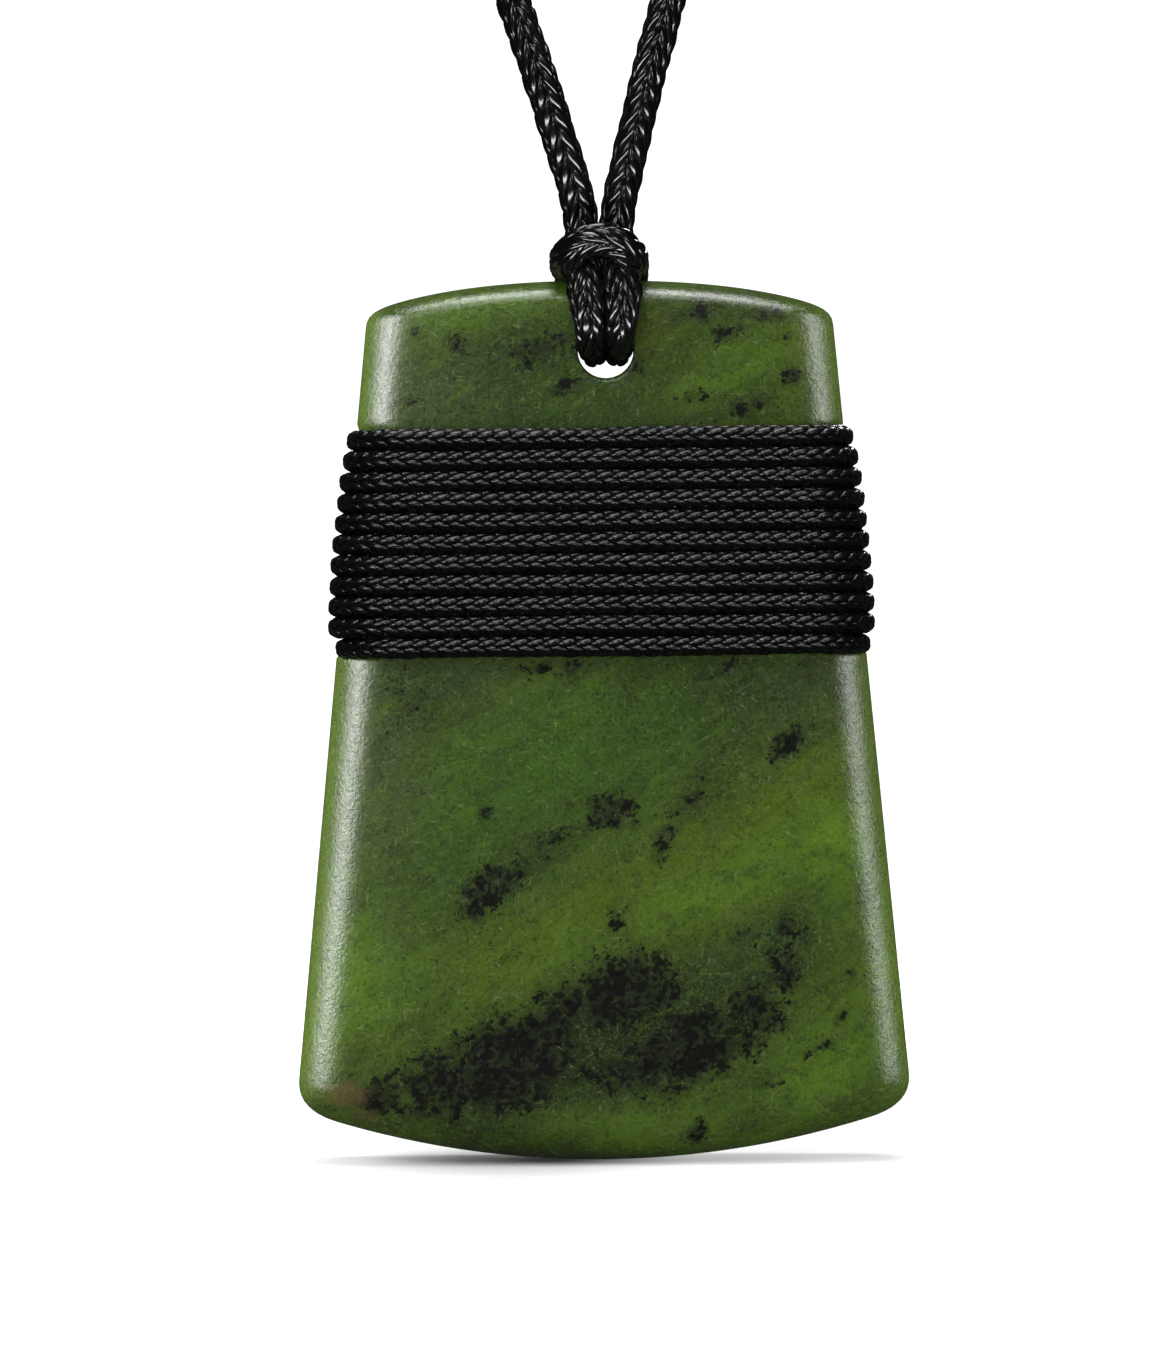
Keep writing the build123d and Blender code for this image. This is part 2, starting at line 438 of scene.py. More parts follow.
def add_dark_marks(tree, base, local, slanted):
    """Grey-black inclusions: a soft halo, then crumbs of three sizes, and rust beside them."""
    dark = stain(tree, "dark")
    ragged = plus(tree, noise(tree, local, 0.75, 8, 0.72, 0.9), -0.5)
    halo = between(tree, plus(tree, dark, times(tree, ragged, 1.6)), 0.20, 0.85, 0.0, 0.80)
    base = mix(tree, halo, base, (0.0085, 0.0105, 0.0048))
    torn = plus(tree, noise(tree, slanted, 2.4, 5, 0.70, 0.6), -0.5)
    rough_edge = plus(tree, times(tree, ragged, 1.9), times(tree, torn, 1.4))
    near = add_node(tree, "ShaderNodeMath", {0: dark, 1: 0.8}, operation="POWER").outputs[0]
    crowd = between(tree, plus(tree, near, rough_edge), 0.26, 1.06, 0.0, 0.92)
    for scale, bend, share, shift in CRUMBS:
        inputs = {"Vector": warp(tree, local, 1.8 * scale, bend), "Scale": scale}
        cells = add_node(tree, "ShaderNodeTexVoronoi", inputs).outputs["Color"]
        chance = add_node(tree, "ShaderNodeSeparateColor", {"Color": cells}).outputs["Red"]
        margin = plus(tree, plus(tree, times(tree, crowd, share), shift), times(tree, chance, -1.0))
        black = between(tree, margin, 0.0, 0.10, 0.0, 0.90)
        base = mix(tree, black, base, (0.0032, 0.0036, 0.0028))
    browned = plus(tree, stain(tree, "brown"), times(tree, ragged, 1.4))
    return mix(tree, between(tree, browned, 0.30, 0.85, 0.0, 0.75), base, (0.070, 0.054, 0.016))


def stone_material():
    """Mottled green nephrite with olive bands, grey-black inclusions and fine pale fibres."""
    material, tree, shader = node_tree("polished_stone")
    place = add_node(tree, "ShaderNodeTexCoord").outputs["Object"]
    foot = (STONE_X * MM, STONE_Y * MM, STONE_FOOT * MM)
    shifted = places(tree, "SUBTRACT", {0: place, 1: foot})
    local = places(tree, "SCALE", {0: shifted, "Scale": 1 / MM})
    slanted = stretched(tree, local, -30, (2.4, 1.4, 1.0))

    base = ground_colour(tree, local, slanted)
    grain = noise(tree, local, 5.5, 4, 0.62)
    base = mix(tree, between(tree, grain, 0.52, 0.72, 0.0, 0.34), base, (0.075, 0.125, 0.014))
    base = mix(tree, between(tree, grain, 0.48, 0.32, 0.0, 0.58), base, (0.005, 0.009, 0.002))
    base, flecks = add_fibres(tree, base, local)
    base = add_dark_marks(tree, base, local, slanted)
    for fleck in flecks:
        base = mix(tree, fleck, base, (0.120, 0.130, 0.080))
    tree.links.new(base, shader.inputs["Base Color"])

    gloss = noise(tree, local, 1.3, 5, 0.6)
    tree.links.new(between(tree, gloss, 0.3, 0.7, 0.20, 0.28), shader.inputs["Roughness"])
    pits = noise(tree, local, 2.6, 5, 0.62, 0.6)
    pores = plus(tree, times(tree, pits, 0.6), times(tree, grain, 0.4))
    inputs = {"Height": pores, "Strength": 0.60, "Distance": 0.00011}
    relief = add_node(tree, "ShaderNodeBump", inputs)
    tree.links.new(relief.outputs[0], shader.inputs["Normal"])
    shader.inputs["IOR"].default_value = 1.60
    return material


def cord_material(name, colour, rough_low, rough_high, gleam, relief_strength):
    """Waxed black cord, with fine fibres along each stitch."""
    material, tree, shader = node_tree(name)
    grain = add_node(tree, "ShaderNodeAttribute", attribute_name="grain").outputs["Vector"]
    fibres = noise(tree, grain, 1.0, 3, 0.6)
    tint = mix(tree, between(tree, fibres, 0.35, 0.7), colour, tuple(2.2 * part for part in colour))
    tree.links.new(tint, shader.inputs["Base Color"])
    tree.links.new(between(tree, fibres, 0.3, 0.7, rough_low, rough_high), shader.inputs["Roughness"])
    inputs = {"Height": fibres, "Strength": relief_strength, "Distance": 0.00003}
    relief = add_node(tree, "ShaderNodeBump", inputs)
    tree.links.new(relief.outputs[0], shader.inputs["Normal"])
    shader.inputs["Specular IOR Level"].default_value = gleam
    return material


stone_look = stone_material()
thin_look = cord_material("lashing_cord", (0.0010, 0.0010, 0.0012), 0.18, 0.32, 0.45, 0.35)
thick_look = cord_material("neck_cord", (0.0006, 0.0006, 0.0006), 0.13, 0.21, 0.33, 0.08)

# Stains, with a painted glow and a painted shade among them: place across and up, half sizes along and
# across, slant in degrees, strength
STAINS = {
    "dark": (
        (-12.6, 3.7, 2.6, 1.5, 6, 0.84),
        (-9.0, 4.4, 3.4, 2.4, 10, 0.92),
        (-5.6, 5.4, 4.2, 2.9, 24, 1.12),
        (-2.6, 8.2, 3.6, 1.9, 36, 0.92),
        (1.0, 9.6, 3.7, 2.3, 20, 1.10),
        (5.2, 6.6, 5.2, 2.3, 22, 1.00),
        (8.2, 8.0, 2.6, 1.8, 20, 0.90),
        (1.8, 5.0, 3.8, 1.4, 14, 0.78),
        (10.3, 13.3, 0.8, 1.3, -10, 0.84),
        (10.2, 10.6, 1.2, 1.8, 10, 0.80),
        (-6.4, 15.4, 3.0, 1.2, 34, 0.85),
        (-2.4, 18.6, 2.4, 0.7, 30, 0.62),
        (0.4, 19.8, 1.9, 1.3, 28, 0.82),
        (3.4, 17.9, 1.3, 0.8, 60, 0.70),
        (4.8, 20.2, 2.1, 0.6, 42, 0.66),
        (10.7, 23.7, 2.1, 0.8, 36, 0.84),
        (0.8, 13.8, 0.8, 0.7, 20, 0.80),
        (11.4, 12.4, 0.9, 0.7, 40, 0.70),
        (7.6, 12.6, 1.6, 0.8, 10, 0.55),
        (-6.6, 19.6, 0.7, 0.6, 0, 0.72),
        (-11.2, 26.4, 2.4, 2.0, 55, 0.52),
        (-2.8, 28.0, 2.2, 0.6, 4, 0.72),
        (6.8, 28.0, 1.8, 0.6, 24, 0.70),
        (5.2, 1.6, 1.0, 0.8, 50, 0.82),
        (9.6, 4.3, 1.2, 0.4, 6, 0.55),
        (14.0, 10.4, 0.9, 0.6, 20, 0.72),
        (13.4, 8.0, 0.9, 0.6, 60, 0.66),
        (12.4, 6.6, 1.6, 0.7, 20, 0.58),
        (-7.9, 46.3, 0.9, 0.8, 20, 0.80),
        (-10.4, 47.1, 0.5, 0.4, 0, 0.70),
        (-3.4, 46.0, 2.3, 1.2, 20, 0.74),
        (-2.2, 43.9, 1.6, 0.8, 30, 0.55),
        (5.7, 48.1, 0.6, 0.5, 50, 0.76),
        (7.1, 46.9, 1.2, 0.7, 30, 0.66),
        (9.5, 48.0, 1.1, 0.7, 10, 0.74),
        (10.9, 44.5, 0.8, 0.6, 30, 0.80),
        (10.7, 46.7, 0.6, 0.4, 30, 0.66),
        (5.2, 43.2, 1.9, 0.6, 10, 0.62),
        (8.4, 42.6, 2.2, 0.7, 14, 0.66),
        (-11.0, 42.9, 1.6, 0.7, 10, 0.44),
        (2.0, 45.0, 0.8, 0.7, 40, 0.50),
    ),
    "bright": (
        (-4.5, 11.6, 6.0, 2.2, 30, 0.75),
        (7.5, 17.0, 8.0, 3.0, 32, 0.80),
        (12.6, 5.2, 4.4, 3.0, 40, 0.78),
        (-13.4, 10.5, 2.8, 4.0, 0, 0.85),
        (13.0, 18.5, 2.6, 4.2, 0, 0.90),
        # Painted glow: this entry lightens the lower right edge, as light shining through the thin
        # rim.
        (16.4, 12.0, 1.8, 9.0, -5, 0.85),
        (1.0, 2.0, 7.0, 1.5, 0, 0.70),
        (7.6, 44.9, 4.0, 1.6, 20, 0.70),
        (-4.6, 48.6, 6.0, 0.8, 10, 0.50),
    ),
    "green": (
        (-3.5, 22.6, 8.0, 4.2, 20, 1.00),
        (-9.0, 19.5, 4.0, 4.5, 0, 0.80),
        (3.0, 25.0, 4.5, 2.6, 20, 0.85),
        (-1.0, 44.0, 4.0, 2.4, 0, 0.50),
        (10.0, 43.5, 3.0, 2.0, 0, 0.40),
    ),
    "olive": (
        (-5.2, 12.2, 3.4, 1.9, 34, 0.95),
        (0.4, 15.4, 4.0, 1.6, 28, 0.80),
        (7.2, 18.6, 5.0, 1.5, 34, 0.80),
        (13.4, 22.3, 3.0, 1.6, 40, 0.70),
        (-12.8, 6.2, 3.2, 1.2, 20, 0.70),
        (2.9, 46.6, 1.8, 2.0, 60, 0.80),
        (11.8, 46.0, 1.5, 2.6, 0, 0.75),
        (5.5, 12.9, 4.5, 0.9, 24, 0.45),
    ),
    "teal": (
        (1.4, 7.4, 4.8, 1.8, 26, 0.80),
        (-9.0, 19.0, 4.6, 3.2, 30, 0.60),
        (9.0, 26.0, 4.4, 2.2, 20, 0.70),
        (-3.0, 16.6, 3.0, 1.4, 30, 0.55),
        (8.6, 12.2, 4.6, 1.4, 22, 0.62),
        (-6.6, 43.2, 4.0, 1.8, 0, 0.50),
        (-2.0, 22.0, 2.0, 1.0, 0, 0.40),
    ),
    "grey": (
        (-12.4, 22.0, 2.6, 6.5, 0, 0.80),
        (-9.0, 27.0, 4.0, 1.8, 0, 0.60),
        (12.4, 26.6, 3.0, 2.4, 0, 0.70),
        (-9.5, 43.4, 3.6, 2.4, 0, 0.70),
        (-12.0, 13.0, 1.6, 4.0, 0, 0.40),
    ),
    "shade": (
        (0.0, 6.6, 10.0, 3.9, 20, 0.95),
        (10.0, 9.6, 4.0, 2.6, 30, 0.60),
        (-10.0, 26.2, 3.6, 2.6, 40, 0.50),
        (8.4, 26.6, 5.6, 2.4, 14, 0.55),
        (-4.0, 17.2, 6.0, 1.7, 33, 0.50),
        (5.2, 20.2, 3.4, 1.7, 45, 0.42),
        (-0.5, 45.0, 6.0, 2.6, 0, 0.50),
        (9.4, 43.4, 4.4, 1.5, 10, 0.45),
        # Painted shade: this strip darkens the stone just under the lashing's lowest turn.
        (0.0, 28.2, 10.0, 1.0, 0, 0.40),
    ),
    "brown": (
        (-14.6, 3.9, 1.9, 1.1, 0, 0.85),
        (-13.6, 2.6, 1.8, 0.7, -20, 0.60),
        (3.6, 47.4, 1.0, 0.8, 30, 0.42),
    ),
}


def stain_field(x, up, stains):
    """How strongly a group of stains shows at each place."""
    field = np.zeros(len(x))
    for centre_x, centre_up, along, across, slant, strength in stains:
        turn = radians(slant)
        run = (x - centre_x) * cos(turn) + (up - centre_up) * sin(turn)
        off = (up - centre_up) * cos(turn) - (x - centre_x) * sin(turn)
        field = np.maximum(field, strength * np.exp(-((run / along) ** 2 + (off / across) ** 2)))
    return field


def even_angles():
    """Angles at the hole whose rays meet the stone's outline at even steps."""
    many = np.linspace(0, 2 * pi, 6001)
    reach = outline_reach(many)
    outline = np.column_stack([reach * np.cos(many), reach * np.sin(many)])
    travel = travel_along(outline)
    return np.interp(np.arange(RING_POINTS) / RING_POINTS * travel[-1], travel, many)


def stone_rings(angles):
    """Distances from the hole's centre of each ring, from the hole's mouth to the outline."""
    reach = outline_reach(angles)
    mouth = HOLE_RADIUS + MOUTH_RADIUS * (1 - np.cos(np.linspace(0, pi / 2, MOUTH_RINGS)))
    edge_zone = np.minimum(EDGE_ZONE, 0.62 * (reach - mouth[-1]))
    rings = [np.full(RING_POINTS, radius) for radius in mouth]
    for share in np.linspace(0, 1, FACE_RINGS)[1:]:
        rings.append(mouth[-1] + share * (reach - edge_zone - mouth[-1]))
    for share in np.linspace(0, pi / 2, EDGE_RINGS)[1:]:
        rings.append(reach - edge_zone + edge_zone * np.sin(share))
    return rings


def build_stone():
    """The stone blade, in rings from its hole out to its outline."""
    angles = even_angles()
    rings = stone_rings(angles)
    points, faces, plan = [], [], []

    def add_ring(x, y, up):
        first = len(points)
        shift = np.sign(x) * seat_pull(x, up)
        for across, depth, height, pull in zip(x, y, up, shift):
            points.append((STONE_X + across - pull, STONE_Y + depth, STONE_FOOT + height))
            plan.append((across, height))
        return np.arange(first, first + RING_POINTS)

    layers = {}
    for side in (-1, 1):
        numbers = []
        for radius in rings[:-1]:
            x = HOLE_X + radius * np.cos(angles)
            up = HOLE_UP + radius * np.sin(angles)
            inset = np.clip(HOLE_RADIUS + MOUTH_RADIUS - radius, 0, MOUTH_RADIUS)
            fall = MOUTH_RADIUS - np.sqrt(MOUTH_RADIUS**2 - inset**2)
            numbers.append(add_ring(x, side * (half_depth(x, up) - fall), up))
        layers[side] = numbers
    x = HOLE_X + rings[-1] * np.cos(angles)
    up = HOLE_UP + rings[-1] * np.sin(angles)
    rim = add_ring(x, np.zeros(RING_POINTS), up)
    for side in (-1, 1):
        chain = layers[side] + [rim]
        for inner, outer in zip(chain, chain[1:]):
            faces.extend(ring_faces(inner, outer))
    wall = [layers[-1][0]]
    x = HOLE_X + HOLE_RADIUS * np.cos(angles)
    up = HOLE_UP + HOLE_RADIUS * np.sin(angles)
    deep = half_depth(x, up) - MOUTH_RADIUS
    for share in (-0.5, 0, 0.5):
        wall.append(add_ring(x, share * deep, up))
    wall.append(layers[1][0])
    for first, second in zip(wall, wall[1:]):
        faces.extend(ring_faces(first, second))

    stone = new_piece("stone", points, faces, stone_look)
    tidy = bmesh.new()
    tidy.from_mesh(stone.data)
    bmesh.ops.recalc_face_normals(tidy, faces=tidy.faces)
    tidy.to_mesh(stone.data)
    tidy.free()
    plan = np.array(plan)
    for name, stains in STAINS.items():
        attribute = stone.data.attributes.new(name, "FLOAT", "POINT")
        attribute.data.foreach_set("value", stain_field(plan[:, 0], plan[:, 1], stains))
    # Painted glow: how close each point lies to the thin rounded sides, where the colour is lightened
    # as if light shone through the rim.
    side_gap = side_half_width(plan[:, 1]) - np.abs(plan[:, 0])
    thin = stone.data.attributes.new("thin", "FLOAT", "POINT")
    thin.data.foreach_set("value", step(0.45, 1.0, 1 - side_gap / SIDE_ROUND))
    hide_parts("stone_blade")


# Shapes of a braid's stitches along and across the cord: place from -1 to 1, share of its height
LEAF_LONG = ((-1, 0), (-0.82, 0.72), (-0.30, 1), (0.30, 1), (0.82, 0.76), (1, 0))
LEAF_WIDE = ((-1, 0), (-0.80, 0.82), (0, 1), (0.80, 0.82), (1, 0))
TILE_LONG = (
    (-1, 0), (-0.86, 0.50), (-0.62, 0.80), (-0.20, 0.98), (0.25, 1), (0.62, 0.84), (0.86, 0.54), (1, 0)
)
TILE_WIDE = ((-1, 0.30), (-0.84, 0.68), (-0.50, 0.94), (0, 1), (0.50, 0.94), (0.84, 0.68), (1, 0.30))
PLAIN_LONG = ((-1, 0), (-0.66, 0.80), (0, 1), (0.66, 0.84), (1, 0))
PLAIN_WIDE = ((-1, 0.30), (-0.60, 0.92), (0.60, 0.92), (1, 0.30))

# How much the stitches differ by chance: size, slant, height and place along the cord
SIZE_CHANCE = 0.04
SLANT_CHANCE = 0.07
HEIGHT_CHANCE = 0.09
PLACE_CHANCE = 0.03

# Rows of stitches round every braid
ROWS = 6

# A braid's dark core: its sides, its size as a share of the cord's, and its closed ends as
# places in from the end and sizes
CORE_SIDES = 10
CORE_SHARE = 0.80
CAP_INSETS = np.array([0, 0.05, 0.2]) * LASH_RADIUS
CAP_SHARES = np.array([0.3, 0.6, 0.8])

# How deep a stitch's edge lies in the core, and how much its far end rides over the next one
STITCH_SINK = 0.03
STITCH_RIDE = 0.16


def read_columns(where, travel, rows):
    """Rows of places read at any length along a line."""
    return np.stack([np.interp(where, travel, rows[:, axis]) for axis in range(3)], -1)


def set_grain(piece, marks):
    """Gives a cord's points the places from which its look reads the fibres."""
    attribute = piece.data.attributes.new("grain", "FLOAT_VECTOR", "POINT")
    attribute.data.foreach_set("vector", marks.astype(np.float32).ravel())


class Strand:
    """A cord's line with its frame and its half sizes, read at any length along it."""

    def __init__(self, points, outward, deep, wide):
        self.points = points
        self.travel = travel_along(points)
        self.length = self.travel[-1]
        self.tangent = np.gradient(points, self.travel, axis=0)
        self.tangent /= np.linalg.norm(self.tangent, axis=1)[:, None]
        self.normal = outward - (outward * self.tangent).sum(1)[:, None] * self.tangent
        self.normal /= np.linalg.norm(self.normal, axis=1)[:, None]
        self.deep = deep
        self.wide = wide

    def surface(self, along, around, lift):
        """Points at a length along, an angle from the outward side and a share of the radius."""
        centre = read_columns(along, self.travel, self.points)
        tangent = read_columns(along, self.travel, self.tangent)
        normal = read_columns(along, self.travel, self.normal)
        normal /= np.linalg.norm(normal, axis=-1)[..., None]
        across = np.cross(tangent, normal)
        across /= np.linalg.norm(across, axis=-1)[..., None]
        out = np.interp(along, self.travel, self.deep) * lift * np.cos(around)
        aside = np.interp(along, self.travel, self.wide) * lift * np.sin(around)
        return centre + normal * out[..., None] + across * aside[..., None]

    def radius(self, along):
        """Mean of the two half sizes at a length along the cord."""
        deep = np.interp(along, self.travel, self.deep)
        wide = np.interp(along, self.travel, self.wide)
        return (deep + wide) / 2


def braid_core(strand, start, end, pitch, capped):
    """Points and faces of a braid's core."""
    count = int((end - start) / (0.55 * pitch)) + 2
    stations = np.linspace(start, end, count)
    lifts = np.full(count, CORE_SHARE)
    if capped:
        stations = np.concatenate([start + CAP_INSETS, stations[1:-1], end - CAP_INSETS[::-1]])
        lifts = np.concatenate([CAP_SHARES, lifts[1:-1], CAP_SHARES[::-1]])
    around = np.arange(CORE_SIDES) * 2 * pi / CORE_SIDES
    grid = strand.surface(
        np.repeat(stations[:, None], CORE_SIDES, 1),
        np.repeat(around[None], len(stations), 0),
        lifts[:, None],
    )
    numbers = np.arange(len(stations) * CORE_SIDES).reshape(-1, CORE_SIDES)
    faces = []
    for first, second in zip(numbers, numbers[1:]):
        faces.extend(ring_faces(first, second))
    faces.append(tuple(numbers[0][::-1]))
    faces.append(tuple(numbers[-1]))
    return grid.reshape(-1, 3), faces


def braid(name, strand, start, end, look, pitch, stitch, shape, turn_at=None, seen=pi, capped=False):
    """A braided stretch of cord: a dark core with rows of stitches.

    stitch holds the length, width, height and slant of a stitch. With no turn_at the stitches
    are leaves that overlap. With it they are woven, as slanted tiles that keep to their row and
    slant the other way past turn_at. Rows further from the outward side than seen are left out.
    """
    core_points, faces = braid_core(strand, start, end, pitch, capped)
    points = [core_points]
    grains = [np.zeros((len(core_points), 3))]
    long, wide, high, slant = stitch
    long_shape, wide_shape = np.array(shape[0]), np.array(shape[1])
    steps_along, steps_across = len(long_shape) - 1, len(wide_shape) - 1
    u, w = np.meshgrid(long_shape[:, 0], wide_shape[:, 0], indexing="ij")
    taper = 1.0 if turn_at else 0.10 + 0.90 * (1 - u**2) ** 0.52
    run = u * long / 2
    off = w * wide / 2 * taper
    dome = long_shape[:, 1][:, None] * wide_shape[:, 1][None]
    quads = []
    for i in range(steps_along):
        for j in range(steps_across):
            corner = i * (steps_across + 1) + j
            quads.append((corner, corner + steps_across + 1, corner + steps_across + 2, corner + 1))
    quads = np.array(quads)
    per = (steps_along + 1) * (steps_across + 1)
    for row in range(ROWS):
        angle = (row + 0.5) * 2 * pi / ROWS
        angle -= 2 * pi if angle > pi else 0
        if abs(angle) > seen:
            continue
        tilt = slant if row % 2 == 0 else -slant
        stagger = 0.5 * (row % 2)
        first = np.ceil((start + 0.5 * long) / pitch - stagger)
        last = np.floor((end - 0.5 * long) / pitch - stagger)
        middles = (np.arange(first, last + 1) + stagger) * pitch
        count = len(middles)
        size = (1 + SIZE_CHANCE * rng.standard_normal(count))[:, None, None]
        turned = tilt * (1 + SLANT_CHANCE * rng.standard_normal(count))
        if turn_at:
            turned[middles > turn_at] *= -1
        raised = (1 + HEIGHT_CHANCE * rng.standard_normal(count))[:, None, None]
        middles = middles + PLACE_CHANCE * pitch * rng.standard_normal(count)
        radius = strand.radius(middles)[:, None, None]
        middles = middles[:, None, None]
        cosine = np.cos(turned)[:, None, None]
        sine = np.sin(turned)[:, None, None]
        if turn_at:
            along = middles + run + off * cosine / sine
            swing = angle + off * size / CORD_RADIUS
        else:
            along = middles + (run * cosine - off * sine) * size
            swing = angle + (run * sine + off * cosine) * size / radius
        lift = CORE_SHARE - STITCH_SINK + high / radius * (dome * raised + STITCH_RIDE * u)
        grid = strand.surface(np.clip(along, start, end), swing, lift)
        base = sum(len(block) for block in points)
        points.append(grid.reshape(-1, 3))
        extent = grid.shape[:3]
        own_place = (row * 31.7 + np.arange(count) * 3.3)[:, None, None]
        marks = np.stack([
            np.broadcast_to(run * 1.2, extent),
            np.broadcast_to(off * 14.0, extent),
            np.broadcast_to(own_place, extent),
        ], -1)
        grains.append(marks.reshape(-1, 3))
        offsets = base + per * np.arange(count)
        faces.extend((offsets[:, None, None] + quads[None]).reshape(-1, 4))
    piece = new_piece(name, np.concatenate(points), faces, look)
    set_grain(piece, np.concatenate(grains))
    return piece


def lashing_line():
    """The lashing's centre line and outward direction, wound from the lowest turn up."""
    rows = []

    def corner(side_x, side_y, half, deep, up, first, last):
        for angle in np.linspace(first, last, 9)[:-1]:
            x = side_x * (half - LASH_CORNER) + LASH_CORNER * cos(angle)
            y = side_y * (deep - LASH_CORNER) + LASH_CORNER * sin(angle)
            rows.append((x, y, up, cos(angle), sin(angle)))

    def depth_at(x, up):
        return HALF_THICKNESS - crown(x, up) + LASH_RADIUS + LASH_GAP

    def crossing(side, start, end, up_start, up_end):
        for share in np.linspace(0, 1, 41)[:-1]:
            x = start + share * (end - start)
            up = up_start + share * (up_end - up_start)
            rows.append((x, side * depth_at(x, up), up, 0, side))

    turns = len(LASHING_TURNS)
    for turn in range(turns + 1):
        up = LASH_BOTTOM + turn * LASH_PITCH
        last_up = up - LASH_PITCH + LASH_RISE
        left_out, right_out = LASHING_TURNS[min(turn, turns - 1)]
        left = side_half_width(up) + left_out * LASH_RADIUS
        right = side_half_width(up) + right_out * LASH_RADIUS
        before = LASHING_TURNS[turn - 1][1] if turn else 0
        start = side_half_width(last_up) + before * LASH_RADIUS - LASH_CORNER if turn else LASH_TAIL
        stop = -LASH_TAIL if turn == turns else -left + LASH_CORNER
        crossing(1, start, stop, last_up if turn else up - 0.5 * LASH_PITCH, up)
        if turn == turns:
            break
        deep = depth_at(left - LASH_CORNER, up)
        corner(-1, 1, left, deep, up, pi / 2, pi)
        corner(-1, -1, left, deep, up, pi, 3 * pi / 2)
        crossing(-1, -left + LASH_CORNER, right - LASH_CORNER, up, up + LASH_RISE)
        deep = depth_at(right - LASH_CORNER, up)
        corner(1, -1, right, deep, up + LASH_RISE, -pi / 2, 0)
        corner(1, 1, right, deep, up + LASH_RISE, 0, pi / 2)
    rows = np.array(rows)
    order = np.arange(len(rows))
    wobble = 0.018 * np.sin(order * 0.21) + 0.012 * np.sin(order * 0.057 + 1)
    height = STONE_FOOT + rows[:, 2] + wobble
    points = np.column_stack([STONE_X + rows[:, 0], STONE_Y + rows[:, 1], height])
    outward = np.column_stack([rows[:, 3], rows[:, 4], np.zeros(len(rows))])
    radius = np.full(len(rows), LASH_RADIUS * 1.02)
    return Strand(points, outward, radius, radius)


def spline_points(name, route):
    """Points along the smooth spline that a route steers."""
    curve = bpy.data.curves.new(name, "CURVE")
    curve.dimensions = "3D"
    curve.resolution_u = 24
    spline = curve.splines.new("NURBS")
    spline.points.add(len(route) - 1)
    for point, place in zip(spline.points, route):
        point.co = (*place, 1)
    spline.use_endpoint_u = True
    spline.order_u = 3
    carrier = bpy.data.objects.new(name, curve)
    bpy.context.scene.collection.objects.link(carrier)
    mesh = bpy.data.meshes.new_from_object(carrier)
    points = np.array([vertex.co[:] for vertex in mesh.vertices])
    bpy.data.objects.remove(carrier)
    bpy.data.curves.remove(curve)
    bpy.data.meshes.remove(mesh)
    keep = np.concatenate([[True], np.linalg.norm(np.diff(points, axis=0), axis=1) > 1e-5])
    return points[keep]


def neck_route():
    """The places that steer the whole neck cord, and its half sizes there."""
    right, sizes = [], []
    for place in NECK_ROUTE:
        right.append(place)
        sizes.append((CORD_RADIUS, CORD_RADIUS))
    for x, y, z, deep, wide in HITCH_ROUTE:
        right.append((STONE_X + x, STONE_Y + y, STONE_TOP + z))
        sizes.append((deep, wide))
    leg = len(NECK_ROUTE)
    left = [(-x, y, z) for x, y, z in right[:leg]]
    left += [(2 * STONE_X - x, y, z) for x, y, z in right[leg:]]
    left[leg] = (left[leg][0] - LEFT_LEG_SHIFT, left[leg][1], left[leg][2])
    for chain in (right, left):
        for number, (x, y, z) in enumerate(chain):
            if number > leg and z < LEAN_BELOW:
                chain[number] = (x + HOLE_X, y, z)
    return right + left[-2::-1], sizes + sizes[-2::-1]


def marks_along(points, travel, route, window=140):
    """Length along the line at which it passes nearest to each place of its route."""
    marks, low = [], 0
    for place in route:
        away = np.linalg.norm(points[low:low + window] - np.array(place), axis=1)
        low += int(np.argmin(away))
        marks.append(travel[low])
    return np.maximum.accumulate(np.array(marks))


def carried_outward(points, start):
    """Outward directions that face the viewer at one point and don't twist along the line."""
    tangent = np.gradient(points, axis=0)
    tangent /= np.linalg.norm(tangent, axis=1)[:, None]
    facing = np.array([0.0, -1.0, 0.0])
    outward = np.zeros_like(points)
    outward[start] = facing
    for direction in (1, -1):
        current = facing
        number = start
        while 0 <= number + direction < len(points):
            number += direction
            current = current - current.dot(tangent[number]) * tangent[number]
            current /= np.linalg.norm(current)
            outward[number] = current
    return outward


def neck_line():
    """The whole neck cord, from the closing knot down the right leg, through the hitch and back."""
    route, sizes = neck_route()
    points = spline_points("neck_line", route)
    travel = travel_along(points)
    marks = marks_along(points, travel, route)
    fine = np.linspace(0, travel[-1], int(travel[-1] / NECK_STEP))
    points = read_columns(fine, travel, points)
    kernel = np.ones(3) / 3
    for axis in range(3):
        points[1:-1, axis] = np.convolve(points[:, axis], kernel, mode="valid")
    deep = np.interp(fine, marks, [size[0] for size in sizes])
    wide = np.interp(fine, marks, [size[1] for size in sizes])
    leg = int(np.argmin(np.linalg.norm(points - np.array(route[len(NECK_ROUTE)]), axis=1)))
    return Strand(points, carried_outward(points, leg), deep, wide), marks


build_stone()

lash = lashing_line()
lashing = braid(
    "lashing_cord", lash, 0, lash.length, thin_look, pitch=0.92,
    stitch=(1.30, 0.62, 0.170, radians(21)), shape=(LEAF_LONG, LEAF_WIDE),
    seen=radians(125), capped=True,
)
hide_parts("lashing")
CORDS = [lashing]

